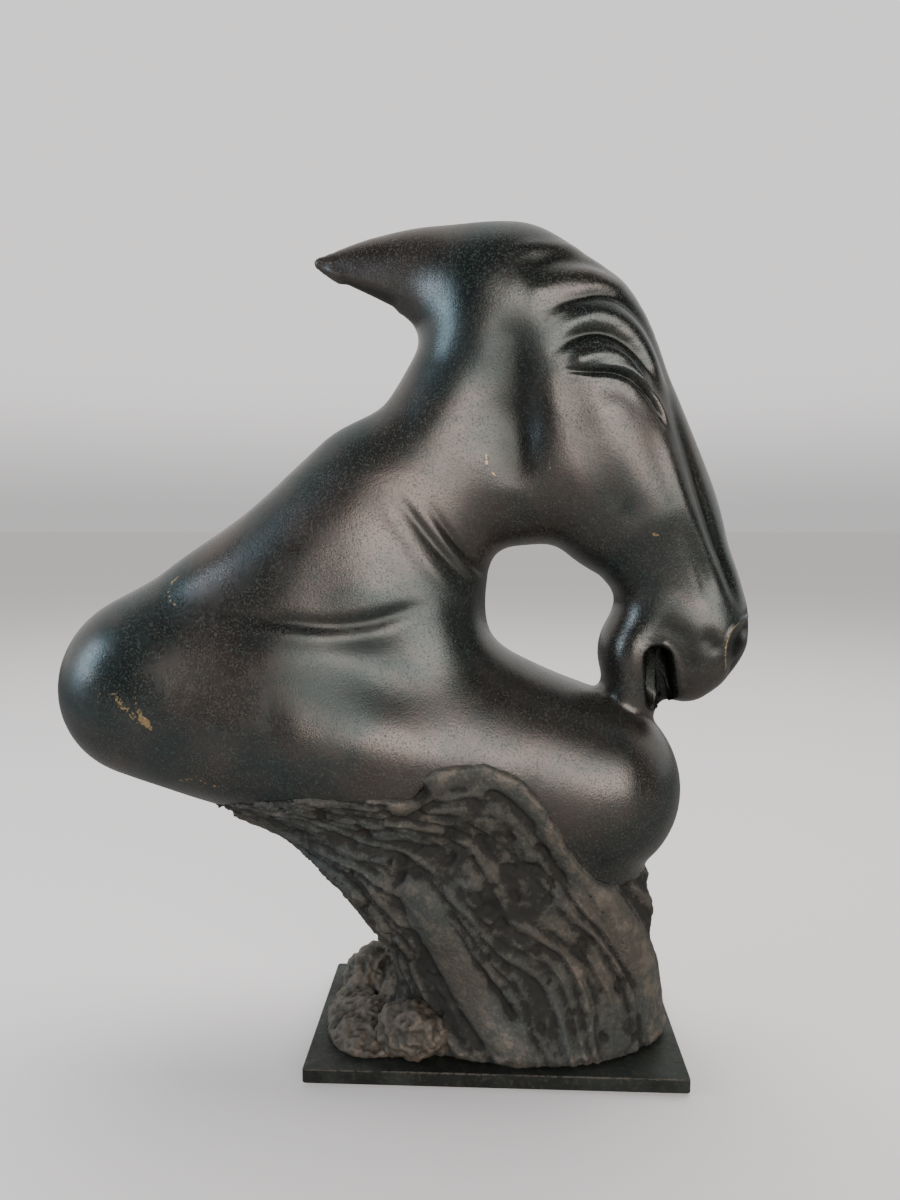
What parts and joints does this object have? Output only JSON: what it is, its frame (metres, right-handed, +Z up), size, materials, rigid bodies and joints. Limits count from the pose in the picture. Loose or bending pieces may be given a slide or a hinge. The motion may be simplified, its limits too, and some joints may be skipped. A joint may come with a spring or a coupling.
{
  "type": "horse statue",
  "caption": "Bronze figure of a bowed horse, its neck curled to the chest around an open loop, on a rough column and a flat base plate.",
  "frame": {"origin": "centre of the felt liner's underside, where the statue stands", "axes": "+X towards the muzzle and chest, +Y towards the horse's far side, +Z up"},
  "size_m": [0.4944, 0.1542, 0.5846],
  "materials": {
    "smooth_bronze": "satin dark green-brown patina, waxed",
    "rough_bronze": "matte dark patina over rough modelled strands",
    "ground_bronze": "matte dark patina, cast ground texture",
    "inner_bronze": "as cast, unpatinated",
    "plate_steel": "satin blackened, scuffed edges",
    "screw_steel": "plain",
    "liner_felt": "dark green felt"
  },
  "bodies": {
    "root": {"base_plate": "plate_steel", "base_screw_1": "screw_steel", "base_screw_2": "screw_steel", "base_screw_3": "screw_steel", "base_screw_4": "screw_steel", "chin_dowel": "inner_bronze", "column_casting": "rough_bronze", "column_pin_1": "inner_bronze", "column_pin_2": "inner_bronze", "column_pin_3": "inner_bronze", "column_pin_4": "inner_bronze", "column_sleeve": "inner_bronze", "ear_casting": "smooth_bronze", "ear_dowel": "inner_bronze", "felt_liner": "liner_felt", "foot_lug_1": "inner_bronze", "foot_lug_2": "inner_bronze", "foot_lug_3": "inner_bronze", "foot_lug_4": "inner_bronze", "head_casting": "smooth_bronze", "head_pin_1": "inner_bronze", "head_pin_2": "inner_bronze", "head_pin_3": "inner_bronze", "head_pin_4": "inner_bronze", "head_sleeve": "inner_bronze", "mound_casting": "ground_bronze", "mound_screw_1": "screw_steel", "mound_screw_2": "screw_steel", "neck_casting": "smooth_bronze", "neck_pin_1": "inner_bronze", "neck_pin_2": "inner_bronze", "neck_pin_3": "inner_bronze", "neck_pin_4": "inner_bronze", "neck_sleeve": "inner_bronze", "rock_casting": "ground_bronze", "rock_screw": "screw_steel", "torso_casting": "smooth_bronze"}
  },
  "joints": []
}
